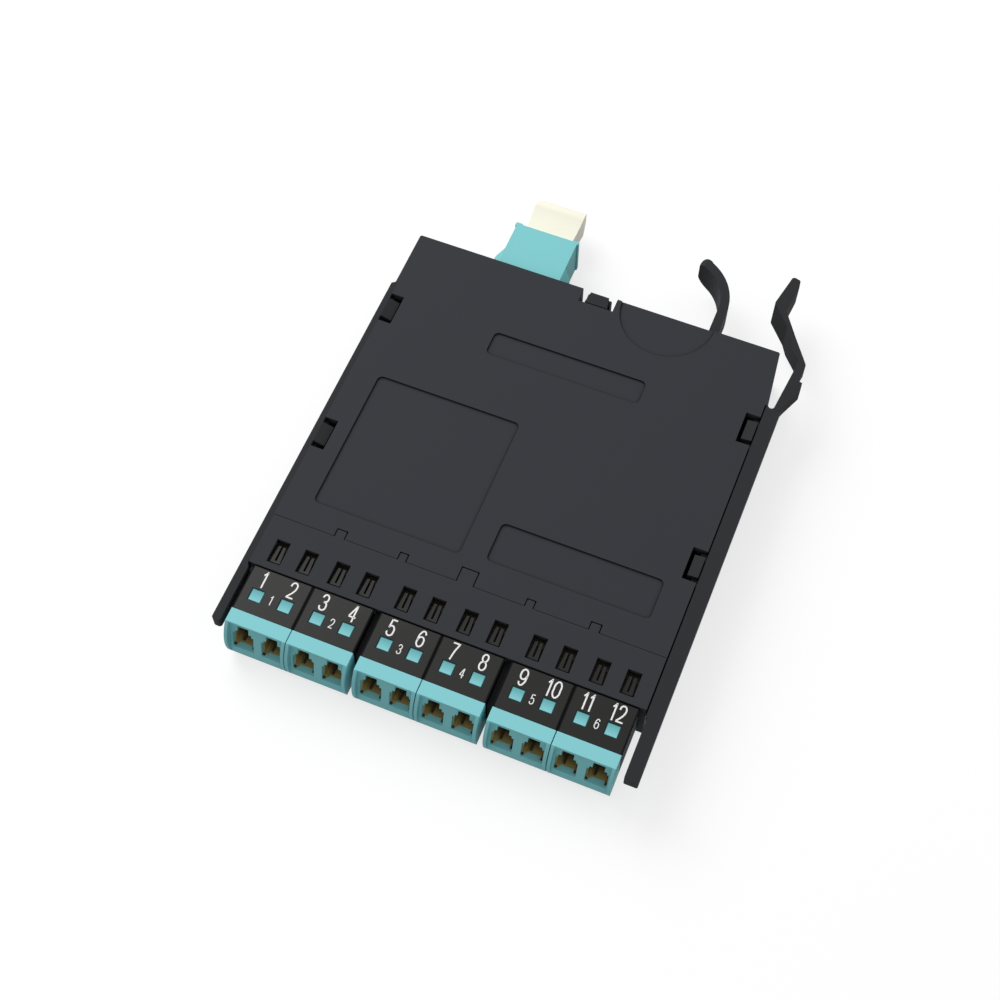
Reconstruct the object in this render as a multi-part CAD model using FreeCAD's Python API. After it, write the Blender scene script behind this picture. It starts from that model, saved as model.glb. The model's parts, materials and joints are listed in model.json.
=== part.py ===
"""Twelve-port fibre cassette: a flat housing with six duplex LC adapters in front and one MPO adapter behind.

Millimetres. X runs along the row of ports, Y from the ports to the back, Z up from the underside.
The origin is the middle of the housing's underside.
"""

import FreeCAD, Part

import math
import os

from FreeCAD import Vector

# Housing
body_width = 84.2
body_length = 87.0
body_height = 12.0
floor_thickness = 1.2
side_wall = 1.2
rear_wall = 1.5
cover_thickness = 1.5
cover_left_margin = 0.5
hood_thickness = 1.0
hood_length = 11.5
seam_gap = 0.06
corner_radius = 0.5
seat_clearance = 0.05

# Guide rails along both sides, flush with the top
rail_height = 3.0
left_rail_step = 0.75
left_rail_width = 1.8
left_rail_setback = 13.7
left_rail_reach = 13.8
right_rail_reach = 14.2
rail_nose_radius = 0.6
right_rail_width = 3.15
right_rail_gap = 0.3
right_rail_relief = 0.3

# Right rear corner, drawn in beside the release lever
taper_length = 13.6
taper_flare = 0.6
taper_end_inset = 1.05

# Row of six duplex adapters, in three pairs
adapter_count = 6
row_left_gap = 0.7
row_right_gap = 0.1
twin_gap = 0.2
pair_gap = 1.5
adapter_headroom = 0.3
adapter_inside = 11.5
adapter_top_reach = 13.1
adapter_bulge_reach = 15.05
adapter_bulge_height = 6.3
adapter_bottom_reach = 14.8
adapter_cheek = 0.7
plate_depth = 2.2
plate_recess = 0.6
brow_height = 0.9
strip_width = 3.0
pocket_floor = 0.9
pocket_roof = 0.6
keel_depth = 0.6
keel_width = 8.0
keel_length = 1.0
keel_setback = 5.0

# LC socket
socket_share = 3 / 7
socket_side_wall = 1.075
socket_floor = 1.8
shoulder_share = 0.8
shoulder_height = 0.7
latch_share = 0.54
latch_top_margin = 1.2
latch_insert_margin = 2.2
partition_setback = 1.7
partition_thickness = 1.2
holder_radius = 1.3
holder_length = 7.4
sleeve_length = 6.6
sleeve_outer_radius = 0.82
sleeve_inner_radius = 0.64
sleeve_slit = 0.2
sleeve_clearance = 0.05
sleeve_sides = 8
holder_sides = 8

# Label clip over each adapter
label_thickness = 0.6
tail_thickness = 0.5
label_back_gap = 0.28
window_width = 2.7
window_length = 2.65
window_back = 6.1
window_clearance = 0.06
boss_recess = 0.12
fork_base_width = 2.2
fork_tip_width = 1.6
fork_slot = 0.42
fork_start = 1.9
fork_length = 3.8
fork_height = 0.8

# Hood windows and the tongues of the hood's back edge
hood_window_width = 2.9
hood_window_length = 5.2
hood_window_setback = 1.45
tongue_widths = (2.0, 1.6, 3.4, 1.6, 2.0)
tongue_lengths = (1.7, 1.6, 3.2, 1.6, 1.7)
tongue_spacing = 13.55
tongue_gap = 0.2

# Recesses of the cover's top
recess_depth = 0.35
recess_radius = 1.2
label_recess = (-35.5, -3.5, -26.4, 6.3)
text_recess = (-17.0, 17.4, 19.9, 25.8)
name_recess = (1.8, 36.3, -25.6, -16.5)
thumb_centre_x = 15.9
thumb_radius = 10.5

# Snap blocks of the side walls and their windows in the cover
snap_front_y = -11.0
snap_rear_y = 22.9
snap_window_length = 7.4
snap_window_width = 2.9
snap_block_length = 4.8
snap_inner_slot = 0.5
snap_right_width = 3.05
snap_right_slot = 0.8
snap_fall = 0.7
snap_drop = 0.15
snap_block_height = 2.4

# Snap finger in the rear wall
rear_snap_x = 0.4
rear_snap_back = 4.2
rear_snap_front = 5.1
rear_snap_foot = 5.4
rear_notch_width = 7.9
rear_notch_length = 3.4
rear_snap_overhang = 1.6
rear_snap_setback = 0.3
rear_slot_bottom = 3.6

# Fins of the tray between the pairs, in front of the hood
fin_reach = 9.6
fin_headroom = 2.4
fin_bottom = 1.5

# Curved finger grip of the rear wall: points of its outline as offsets from the middle of its root
finger_from_right = 16.0
finger_top = 10.5
finger_height = 6.8
finger_outer_x = (1.2, 0.95, -0.55, -5.9, -7.9, -8.6)
finger_outer_y = (-1.5, 6.1, 12.9, 18.2, 18.6, 17.1)
finger_inner_x = (-2.95, -1.1, -1.1)
finger_inner_y = (13.0, 7.0, -1.5)
finger_top_round = 1.5
finger_low_round = 2.8

# Release lever: corners of its outline as offsets from its pivot, with the round of each
pivot_from_right = 2.7
pivot_from_rear = 13.4
lever_half_thickness = 0.78
pivot_clearance = 0.05
lever_x = (-0.78, 0.78, 1.1, 3.05, 2.85, 1.95, 2.3, -1.9, -5.8, -4.95, -5.25, -7.05, -8.7, -4.4, 0.5, 0.1)
lever_y = (0.0, 0.0, 0.9, 5.5, 7.9, 8.0, 12.4, 18.5, 24.4, 31.0, 33.1, 33.6, 25.4, 20.5, 12.2, 8.4)
lever_rounds = (0, 0, 0, 0.3, 0.2, 0, 1.6, 3.0, 0.6, 1.2, 0.5, 0.7, 0.8, 3.0, 1.6, 1.0)
groove_x = (-1.6, 0.35)
groove_y = (15.1, 12.7)
groove_width = 0.35
groove_depth = 0.5
paddle_height = 7.3
ramp_start = 10.2
ramp_end = 18.2
tip_rise_start = 25.0
tip_rise = 3.2
slit_width = 1.3

# MPO adapter in the rear wall
mpo_x = -16.7
mpo_width = 14.4
mpo_reach = 12.5
mpo_inside = 10.5
mpo_flange_width = 17.6
mpo_flange_length = 3.2
mpo_flange_taper = 1.6
mpo_flange_slope = 1.8
mpo_lip_length = 0.9
mpo_lip_height = 0.3
mpo_lip_relief = 0.3
mpo_lip_edge = 1.2
mpo_rib_thickness = 1.0
mpo_socket_width = 10.6
mpo_socket_height = 6.9
mpo_socket_depth = 9.3
mpo_web = 2.0
mpo_key_width = 3.4
mpo_key_height = 0.7
mpo_hook_length = 5.0
mpo_hook_thickness = 0.8
mpo_hook_height = 2.4
mpo_clearance = 0.1

# MPO plug and ferrule inside
ferrule_width = 6.4
ferrule_height = 2.5
ferrule_length = 8.0
ferrule_shoulder = 0.35
guide_pin_radius = 0.35
guide_pin_spacing = 4.6
guide_pin_reach = 2.0
mpo_plug_length = 15.5
mpo_boot_length = 4.0
mpo_boot_radius = 2.9
mpo_boot_tip_radius = 1.7

# Dust cap
cap_base_width = 11.0
cap_wide_width = 11.6
cap_tip_width = 10.6
cap_waist_y = 3.6
cap_wide_y = 7.9
cap_length = 11.3
cap_base_height = 5.7
cap_waist_height = 5.1
cap_bulb_height = 6.3
cap_tip_height = 2.2
cap_corner = 1.1
cap_plug_width = 7.6
cap_plug_height = 5.6
cap_plug_depth = 4.0
cap_wall = 0.9
cap_end_wall = 2.5

# Fibres inside
trunk_radius = 1.0
trunk_length = 4.0
block_length = 8.0
block_height = 3.2
leg_width = 0.8
leg_pitch = 1.2
leg_lead = 7.0
leg_stagger = 1.0
leg_tail = 7.0

# LC plugs inside
plug_clearance = 0.1
plug_front_gap = 0.3
plug_length = 14.0
boot_length = 7.5
boot_root_radius = 1.9
boot_tip_radius = 0.9
latch_arm_width = 1.6
latch_arm_share = 0.14
ferrule_radius = 0.62

# Places worked out from the sizes above
left_x = -body_width / 2
right_x = body_width / 2
front_y = -body_length / 2
rear_y = body_length / 2
seam_y = front_y + hood_length
cover_bottom = body_height - cover_thickness
cover_left = left_x + cover_left_margin
rail_bottom = body_height - rail_height
left_rail_front = front_y - left_rail_reach
right_rail_front = front_y - right_rail_reach
left_rail_rear = rear_y - left_rail_setback
right_rail_inner = right_x + right_rail_gap
right_rail_outer = right_rail_inner + right_rail_width
taper_start = rear_y - taper_length
pivot_x = right_x + pivot_from_right
pivot_y = rear_y - pivot_from_rear
finger_x = right_x - finger_from_right
row_gaps = row_left_gap + row_right_gap + 2 * pair_gap + 3 * twin_gap
adapter_width = (body_width - 2 * side_wall - row_gaps) / adapter_count
adapter_pitch = adapter_width + twin_gap
pair_pitch = 2 * adapter_width + twin_gap + pair_gap
row_offset = (row_left_gap - row_right_gap) / 2
adapter_height = body_height - floor_thickness - adapter_headroom
socket_height = socket_share * adapter_height
socket_width = socket_height
shoulder_width = shoulder_share * socket_width
latch_width = latch_share * socket_width
port_pitch = adapter_width - socket_width - 2 * socket_side_wall
latch_top_plate = adapter_height - latch_top_margin
latch_top_insert = adapter_height - latch_insert_margin
latch_arm_rise = latch_arm_share * adapter_height
adapter_bottom = floor_thickness
adapter_top = adapter_bottom + adapter_height
adapter_rear = front_y + adapter_inside
hood_bottom = body_height - hood_thickness
label_bed = adapter_top - label_thickness
tail_top = hood_bottom - seat_clearance
tail_bottom = tail_top - tail_thickness
adapter_low_top = tail_bottom - seat_clearance
pocket_bottom = adapter_bottom + pocket_floor
pocket_top = adapter_low_top - pocket_roof
socket_bottom = adapter_bottom + socket_floor
socket_axis = socket_bottom + socket_height / 2
mate_y = front_y - partition_setback
mpo_rear = rear_y + mpo_reach
mpo_front = rear_y - mpo_inside
mpo_axis = (floor_thickness + cover_bottom) / 2
mpo_height = cover_bottom - floor_thickness
mpo_web_rear = mpo_rear - mpo_socket_depth
mpo_web_front = mpo_web_rear - mpo_web
ferrule_tip = mpo_web_rear - mpo_web / 2
plug_rear = mpo_web_front - mpo_plug_length
trunk_start = plug_rear - mpo_boot_length
block_rear = trunk_start - trunk_length
block_front = block_rear - block_length
lc_plug_front = mate_y + holder_length / 2 + plug_front_gap
lc_plug_rear = lc_plug_front + plug_length
boot_end = lc_plug_rear + boot_length


def placed(plane, u, v, w):
    """The point at (u, v) of a drawing plane, w along the plane's normal."""
    if plane == "xy":
        return Vector(u, v, w)
    if plane == "xz":
        return Vector(u, w, v)
    return Vector(w, u, v)


def normal(plane, length):
    return placed(plane, 0, 0, length)


def corner_trims(corners):
    """For each corner (u, v, radius): where its round starts, its middle, and where it ends."""
    trims = []
    for index, (u, v, radius) in enumerate(corners):
        here = Vector(u, v, 0)
        before = Vector(*corners[index - 1][:2], 0)
        after = Vector(*corners[(index + 1) % len(corners)][:2], 0)
        if not radius:
            trims.append((here, None, here))
            continue
        back = (before - here).normalize()
        onward = (after - here).normalize()
        half = back.getAngle(onward) / 2
        inward = (back + onward).normalize()
        middle = here + inward * (radius / math.sin(half) - radius)
        reach = radius / math.tan(half)
        trims.append((here + back * reach, middle, here + onward * reach))
    return trims


def rounded_wire(plane, corners, level):
    """A closed wire with straight sides, each corner rounded by its own radius."""
    trims = corner_trims(corners)
    edges = []
    for index, (start, middle, end) in enumerate(trims):
        points = [placed(plane, p.x, p.y, level) for p in (start, middle or start, end)]
        if middle:
            edges.append(Part.Arc(*points).toShape())
        following = trims[(index + 1) % len(trims)][0]
        onward = placed(plane, following.x, following.y, level)
        if points[2].distanceToPoint(onward) > 1e-6:
            edges.append(Part.LineSegment(points[2], onward).toShape())
    return Part.Wire(edges)


def prism(plane, corners, start, end):
    """The outline through corners, from start to end along the plane's normal."""
    full = [corner if len(corner) == 3 else (*corner, 0) for corner in corners]
    return Part.Face(rounded_wire(plane, full, start)).extrude(normal(plane, end - start))


def path_wire(plane, steps, level):
    """A closed wire: (u, v) steps straight to there, (u, v, u, v) is an arc through one point to the next."""
    here = placed(plane, *steps[0][:2], level)
    first = here
    edges = []
    for step in steps[1:]:
        there = placed(plane, *step[-2:], level)
        if len(step) == 4:
            edges.append(Part.Arc(here, placed(plane, *step[:2], level), there).toShape())
        else:
            edges.append(Part.LineSegment(here, there).toShape())
        here = there
    if here.distanceToPoint(first) > 1e-6:
        edges.append(Part.LineSegment(here, first).toShape())
    return Part.Wire(edges)


def path_prism(plane, steps, start, end):
    return Part.Face(path_wire(plane, steps, start)).extrude(normal(plane, end - start))


def rect(u0, u1, v0, v1, radius=0):
    """The corners of a rectangle, rounded by one radius."""
    return [(u0, v0, radius), (u1, v0, radius), (u1, v1, radius), (u0, v1, radius)]


def slab(x0, x1, y0, y1, z0, z1, radius=0):
    return prism("xy", rect(x0, x1, y0, y1, radius), z0, z1)


def rod(radius, x, z, y0, y1):
    """A cylinder along Y."""
    return Part.makeCylinder(radius, y1 - y0, Vector(x, y0, z), Vector(0, 1, 0))


def bar(radius, sides, x, z, y0, y1, end_radius=None):
    """A bar of regular section along Y, straight or tapered, for small round parts that repeat."""
    angles = [math.tau * (n + 0.5) / sides for n in range(sides)]
    rings = [
        [Vector(x + r * math.sin(a), y, z - r * math.cos(a)) for a in angles]
        for y, r in ((y0, radius), (y1, end_radius or radius))
    ]
    loops = [rings[0], rings[1]]
    for n in range(sides):
        following = (n + 1) % sides
        loops.append([rings[0][n], rings[0][following], rings[1][following], rings[1][n]])
    faces = [Part.Face(Part.makePolygon([*loop, loop[0]])) for loop in loops]
    return Part.makeSolid(Part.makeShell(faces))


def joined(shapes):
    return shapes[0].fuse(shapes[1:]).removeSplitter() if len(shapes) > 1 else shapes[0]


def without(shape, cutters):
    return shape.cut(cutters) if cutters else shape


def adapter_x(index):
    pair, side = divmod(index, 2)
    return row_offset + (pair - 1) * pair_pitch + (side - 0.5) * adapter_pitch


def port_xs(index):
    return [adapter_x(index) + side * port_pitch / 2 for side in (-1, 1)]


def body_outline(left):
    """The housing seen from above, with its right rear corner drawn in beside the lever."""
    return [
        (left, front_y),
        (right_x, front_y),
        (right_x, taper_start),
        (right_x + taper_flare, taper_start),
        (right_x - taper_end_inset, rear_y, corner_radius),
        (left_x, rear_y, corner_radius),
        (left_x, left_rail_rear),
        (left, left_rail_rear),
    ]


def inner_outline(inset):
    """The inside of the side and rear walls, drawn in by inset."""
    left = left_x + side_wall + inset
    right = right_x - side_wall - inset
    rear = rear_y - rear_wall - inset
    return [
        (left, front_y - 1),
        (right, front_y - 1),
        (right, taper_start),
        (right - taper_end_inset, rear, corner_radius),
        (left, rear, corner_radius),
    ]


def left_rail():
    """The left guide rail: beside the cover it forms the wall's top, in front of the body it stands free."""
    outer = left_x - left_rail_step
    free_inner = outer + left_rail_width
    chamfer = left_rail_step * 0.8
    return prism(
        "xy",
        [
            (outer, left_rail_front, rail_nose_radius),
            (free_inner, left_rail_front, rail_nose_radius),
            (free_inner, front_y - 1.1),
            (cover_left, front_y - 0.1),
            (cover_left, left_rail_rear),
            (left_x, left_rail_rear),
            (outer, left_rail_rear - chamfer),
        ],
        rail_bottom,
        body_height,
    )


def right_rail():
    """The right guide rail, with the slit and the seat of the release lever in its rear end."""
    rail = prism(
        "xy",
        [
            (right_rail_inner + right_rail_relief, right_rail_front, 0.3),
            (right_rail_outer, right_rail_front, 0.3),
            (right_rail_outer, taper_start),
            (right_x - side_wall, taper_start),
            (right_x - side_wall, front_y + 0.1),
            (right_rail_inner, front_y + 0.1),
            (right_rail_inner, front_y - 0.6),
            (right_rail_inner + right_rail_relief, front_y - 1.4),
        ],
        rail_bottom,
        body_height,
    )
    ledge = slab(right_x - side_wall - 1, right_rail_inner, front_y - 1, taper_start + 1,
                 cover_bottom, body_height + 1)
    slit_left = pivot_x - lever_half_thickness - slit_width
    slit = slab(slit_left, pivot_x - lever_half_thickness, pivot_y, taper_start + 2, 0, body_height + 1)
    slit_root = Part.makeCylinder(
        slit_width / 2, body_height + 1, Vector(slit_left + slit_width / 2, pivot_y, 0)
    )
    arm_space = slab(pivot_x - lever_half_thickness - 0.1, right_rail_outer + 1, pivot_y, taper_start + 2,
                     0, body_height + 1)
    seat = Part.makeCylinder(
        lever_half_thickness + pivot_clearance, body_height + 1, Vector(pivot_x, pivot_y, 0)
    )
    return rail.cut([ledge, slit, slit_root, arm_space, seat])


def snap_blocks():
    """The four blocks of the side walls that stand in the cover's windows, sloping down inwards."""
    top = body_height - snap_drop
    bottom = body_height - snap_block_height
    left_end = cover_left + snap_window_width - snap_inner_slot
    right_end = right_x - snap_right_width + snap_right_slot
    left = [
        (left_x, bottom),
        (left_end, bottom),
        (left_end, top - snap_fall),
        (cover_left, body_height),
        (left_x, body_height),
    ]
    right = [
        (right_end, bottom),
        (right_x - seat_clearance, bottom),
        (right_x - seat_clearance, top),
        (right_end, top - snap_fall / 2),
    ]
    blocks = []
    for y in (snap_front_y, snap_rear_y):
        ends = (y - snap_block_length / 2, y + snap_block_length / 2)
        blocks.append(prism("xz", left, *ends))
        blocks.append(prism("xz", right, *ends))
    return blocks


def finger_grip():
    """The curved grip on the rear wall that a finger pulls against, its end rounded above and below."""
    outer = [(finger_x + x, rear_y + y) for x, y in zip(finger_outer_x, finger_outer_y)]
    inner = [(finger_x + x, rear_y + y) for x, y in zip(finger_inner_x, finger_inner_y)]
    bottom = finger_top - finger_height
    grip = path_prism(
        "xy",
        [
            outer[0],
            outer[1],
            (*outer[2], *outer[3]),
            (*outer[4], *outer[5]),
            (*inner[0], *inner[1]),
            inner[2],
        ],
        bottom,
        finger_top,
    )
    tip = outer[5][0] - 0.1
    side = prism(
        "xz",
        [
            (tip, bottom, finger_low_round),
            (right_x, bottom),
            (right_x, finger_top),
            (tip, finger_top, finger_top_round),
        ],
        rear_y - rear_wall,
        rear_y + 2 * finger_outer_y[4],
    )
    return grip.common(side)


def rear_snap():
    """The drafted block on the rear wall's snap finger, which reaches forward into the cover's notch."""
    front = rear_y - rear_wall - rear_snap_overhang
    back = rear_y - rear_snap_setback
    return prism(
        "xy",
        [
            (rear_snap_x - rear_snap_front / 2, front),
            (rear_snap_x + rear_snap_front / 2, front),
            (rear_snap_x + rear_snap_back / 2, back),
            (rear_snap_x - rear_snap_back / 2, back),
        ],
        cover_bottom,
        body_height - 0.1,
    )


def dividers():
    """Walls between the three pairs of adapters."""
    walls = []
    for pair in (1, 2):
        left_face = adapter_x(2 * pair - 1) + adapter_width / 2
        right_face = adapter_x(2 * pair) - adapter_width / 2
        clearance = 2 * seat_clearance
        walls.append(
            slab(
                left_face + clearance,
                right_face - clearance,
                front_y + 0.7,
                adapter_rear,
                floor_thickness / 2,
                hood_bottom - clearance,
            )
        )
        walls.append(
            slab(
                left_face + clearance,
                right_face - clearance,
                front_y - fin_reach,
                front_y + 1.5,
                fin_bottom,
                body_height - fin_headroom,
            )
        )
    return walls


def base_tray():
    """Floor, walls, both guide rails, snap blocks, finger grip and dividers: one moulding."""
    shell = prism("xy", body_outline(left_x), 0, cover_bottom)
    shell = shell.cut(prism("xy", inner_outline(0), floor_thickness, cover_bottom))
    stop_ridge = slab(left_x + side_wall / 2, right_x - side_wall / 2, adapter_rear + seat_clearance,
                      adapter_rear + seat_clearance + 1, floor_thickness / 2, floor_thickness + 1.2)
    tray = joined([shell, left_rail(), right_rail(), *snap_blocks(), finger_grip(), rear_snap(), *dividers(),
                   stop_ridge])
    mpo_half = mpo_width / 2 + mpo_clearance
    cutters = [slab(mpo_x - mpo_half, mpo_x + mpo_half, rear_y - rear_wall - 1, rear_y + 1,
                    floor_thickness, body_height)]
    notch_left = rear_snap_x - rear_notch_width / 2
    for x0, x1 in (
        (notch_left, rear_snap_x - rear_snap_foot / 2),
        (rear_snap_x + rear_snap_foot / 2, notch_left + rear_notch_width),
    ):
        cutters.append(slab(x0, x1, rear_y - rear_wall - 0.5, rear_y + 1, rear_slot_bottom, body_height))
    for index in range(adapter_count):
        x = adapter_x(index)
        half = keel_width / 2 + seat_clearance
        y = front_y + keel_setback
        cutters.append(
            slab(x - half, x + half, y - seat_clearance, y + keel_length + seat_clearance,
                 adapter_bottom - keel_depth - seat_clearance, adapter_bottom)
        )
    return without(tray, cutters)


def tongue_places():
    for index, (width, length) in enumerate(zip(tongue_widths, tongue_lengths)):
        yield (index - 2) * tongue_spacing, width, length


def top_cover():
    """The lid behind the seam: recesses on top, notches for the hood's tongues, and a locating lip below."""
    front = seam_y + seam_gap
    cover = prism("xy", [(u, max(v, front), *r) for u, v, *r in body_outline(cover_left)],
                  cover_bottom, body_height)
    lip_top = cover_bottom
    lip_bottom = cover_bottom - 0.9
    lip = prism("xy", inner_outline(2 * seat_clearance), lip_bottom, lip_top)
    lip = lip.cut([
        prism("xy", inner_outline(2 * seat_clearance + 0.9), lip_bottom, lip_top),
        slab(left_x, right_x, front_y - 2, seam_y + 3, lip_bottom, lip_top),
        slab(mpo_x - mpo_flange_width / 2 - 0.5, mpo_x + mpo_flange_width / 2 + 0.5, rear_y / 2, rear_y,
             lip_bottom, lip_top),
        slab(rear_snap_x - rear_notch_width / 2 - 0.3, rear_snap_x + rear_notch_width / 2 + 0.3, rear_y / 2,
             rear_y, lip_bottom, lip_top),
    ])
    for y in (snap_front_y, snap_rear_y):
        half = snap_block_length / 2 + 0.5
        lip = lip.cut(slab(left_x, left_x + 6, y - half, y + half, lip_bottom, lip_top))
        lip = lip.cut(slab(right_x - 6, right_x, y - half, y + half, lip_bottom, lip_top))
    cover = joined([cover, lip])

    floor = body_height - recess_depth
    cutters = [
        slab(*label_recess, floor, body_height, recess_radius),
        slab(*text_recess, floor, body_height, recess_radius),
        slab(*name_recess, floor, body_height, recess_radius),
        Part.makeCylinder(thumb_radius, recess_depth, Vector(thumb_centre_x, rear_y, floor)),
    ]
    for x, width, length in tongue_places():
        half = width / 2 + tongue_gap
        cutters.append(slab(x - half, x + half, seam_y - 1, seam_y + length + tongue_gap, 0, body_height))
    for y in (snap_front_y, snap_rear_y):
        ends = (y - snap_window_length / 2, y + snap_window_length / 2)
        cutters.append(slab(cover_left - 1, cover_left + snap_window_width, *ends, 0, body_height))
        cutters.append(slab(right_x - snap_right_width, right_x + 1, *ends, 0, body_height))
    half = rear_notch_width / 2
    cutters.append(slab(rear_snap_x - half, rear_snap_x + half, rear_y - rear_notch_length, rear_y + 1,
                        0, body_height))
    return without(cover, cutters)


def front_hood():
    """The strip over the adapters, with a window at every port and five tongues along its back edge."""
    rim = cover_bottom
    hood = prism(
        "xz",
        [
            (cover_left, rim),
            (left_x + side_wall, rim),
            (left_x + side_wall, hood_bottom),
            (right_x - side_wall, hood_bottom),
            (right_x - side_wall, rim),
            (right_x, rim),
            (right_x, body_height),
            (cover_left, body_height),
        ],
        front_y,
        seam_y,
    )
    tongues = [
        prism("xy", [(x - width / 2, seam_y - 1), (x + width / 2, seam_y - 1),
                     (x + width / 2, seam_y + length, 0.25), (x - width / 2, seam_y + length, 0.25)],
              hood_bottom, body_height)
        for x, width, length in tongue_places()
    ]
    hood = joined([hood, *tongues])
    start = front_y + hood_window_setback
    cutters = []
    for index in range(adapter_count):
        for x in port_xs(index):
            half = hood_window_width / 2
            cutters.append(slab(x - half, x + half, start, start + hood_window_length, 0, body_height))
    return without(hood, cutters)


def socket_outline(x, latch_top):
    """The LC socket seen from the front: a square, a narrower shoulder and the latch slot above."""
    body_top = socket_bottom + socket_height
    shoulder_top = body_top + shoulder_height
    top = adapter_bottom + latch_top
    body = socket_width / 2
    shoulder = shoulder_width / 2
    latch = latch_width / 2
    return [
        (x - body, socket_bottom),
        (x + body, socket_bottom),
        (x + body, body_top),
        (x + shoulder, body_top),
        (x + shoulder, shoulder_top),
        (x + latch, shoulder_top),
        (x + latch, top),
        (x - latch, top),
        (x - latch, shoulder_top),
        (x - shoulder, shoulder_top),
        (x - shoulder, body_top),
        (x - body, body_top),
    ]


def plate_y(z):
    """Where the slanted port plate lies at height z, set back below the brow of the label strip."""
    share = (adapter_top - brow_height - z) / (adapter_height - brow_height)
    top_reach = adapter_top_reach - plate_recess
    return front_y - top_reach - share * (adapter_bottom_reach - top_reach)


def adapter_profile(bulged):
    """Side profile of an adapter: the cheeks bulge forward, the port plate between them is flat."""
    top_front = (front_y - adapter_top_reach, adapter_top)
    bottom_front = (front_y - adapter_bottom_reach, adapter_bottom)
    bulge = (front_y - adapter_bulge_reach, adapter_bottom + adapter_bulge_height)
    brow = adapter_top - brow_height
    flat = [(top_front[0], brow), (plate_y(brow), brow), bottom_front]
    label_back = front_y - label_back_gap - tail_thickness - seat_clearance
    return [
        top_front,
        *([(*bulge, *bottom_front)] if bulged else flat),
        (adapter_rear, adapter_bottom),
        (adapter_rear, adapter_low_top),
        (label_back, adapter_low_top),
        (label_back, label_bed),
        (front_y - adapter_top_reach + strip_width, label_bed),
        (front_y - adapter_top_reach + strip_width, adapter_top),
    ]


def pocket_outline(clearance, rear):
    """Side profile of the adapter's pocket, and of the insert that fills it."""
    bottom = pocket_bottom + clearance
    top = pocket_top - clearance
    return [
        (plate_y(top) + plate_depth + clearance, top),
        (plate_y(bottom) + plate_depth + clearance, bottom),
        (rear, bottom),
        (rear, top),
    ]


def lc_adapter(index):
    """Duplex adapter body: bulged cheeks, flat port plate, label bed with two bosses, open at the back."""
    x = adapter_x(index)
    left = x - adapter_width / 2
    right = x + adapter_width / 2
    window_y = front_y - window_back
    keel_y = front_y + keel_setback
    pieces = [
        path_prism("yz", adapter_profile(False), left, right),
        path_prism("yz", adapter_profile(True), left, left + adapter_cheek),
        path_prism("yz", adapter_profile(True), right - adapter_cheek, right),
        slab(x - keel_width / 2, x + keel_width / 2, keel_y, keel_y + keel_length,
             adapter_bottom - keel_depth, adapter_bottom),
    ]
    for port_x in port_xs(index):
        pieces.append(
            slab(port_x - window_width / 2, port_x + window_width / 2, window_y - window_length / 2,
                 window_y + window_length / 2, label_bed, adapter_top - boss_recess)
        )
    body = joined(pieces)
    pocket = prism("yz", pocket_outline(0, adapter_rear + 1), left + adapter_cheek, right - adapter_cheek)
    open_top = slab(left + 1.5, right - 1.5, front_y + 0.9, adapter_rear + 1, pocket_top - 0.1, adapter_top)
    cutters = [pocket, open_top]
    for port_x in port_xs(index):
        cutters.append(prism("xz", socket_outline(port_x, latch_top_plate),
                             front_y - adapter_bulge_reach - 1, plate_y(pocket_top) + plate_depth + 0.1))
    return without(body, cutters)


def port_insert(index):
    """The brown insert in an adapter: the two socket walls, the partition and the two sleeve holders."""
    x = adapter_x(index)
    half = adapter_width / 2 - adapter_cheek - seat_clearance
    rear = adapter_rear - 0.2
    insert = prism("yz", pocket_outline(seat_clearance, rear), x - half, x + half)
    wall_front = mate_y - partition_thickness / 2
    wall_rear = mate_y + partition_thickness / 2
    front = front_y - adapter_bulge_reach
    holders = []
    cutters = []
    bores = []
    for port_x in port_xs(index):
        outline = socket_outline(port_x, latch_top_insert)
        cutters.append(prism("xz", outline, front, wall_front))
        cutters.append(slab(port_x - socket_width / 2, port_x + socket_width / 2, wall_rear, rear + 1,
                            socket_bottom, adapter_bottom + latch_top_insert))
        holders.append(bar(holder_radius, holder_sides, port_x, socket_axis, mate_y - holder_length / 2,
                           mate_y + holder_length / 2))
        bores.append(bar(sleeve_outer_radius + sleeve_clearance, sleeve_sides, port_x, socket_axis,
                         mate_y - holder_length, mate_y + holder_length))
    return joined([insert.cut(cutters), *holders]).cut(bores)


def sleeve(x):
    """A split alignment sleeve."""
    start = mate_y - sleeve_length / 2
    end = mate_y + sleeve_length / 2
    tube = bar(sleeve_outer_radius, sleeve_sides, x, socket_axis, start, end)
    bore = bar(sleeve_inner_radius, sleeve_sides, x, socket_axis, start - 1, end + 1)
    slit = slab(x - sleeve_slit / 2, x + sleeve_slit / 2, start - 1, end + 1, socket_axis, socket_axis + 2)
    return tube.cut([bore, slit])


def sleeve_pair(index):
    return Part.Compound([sleeve(x) for x in port_xs(index)])


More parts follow.
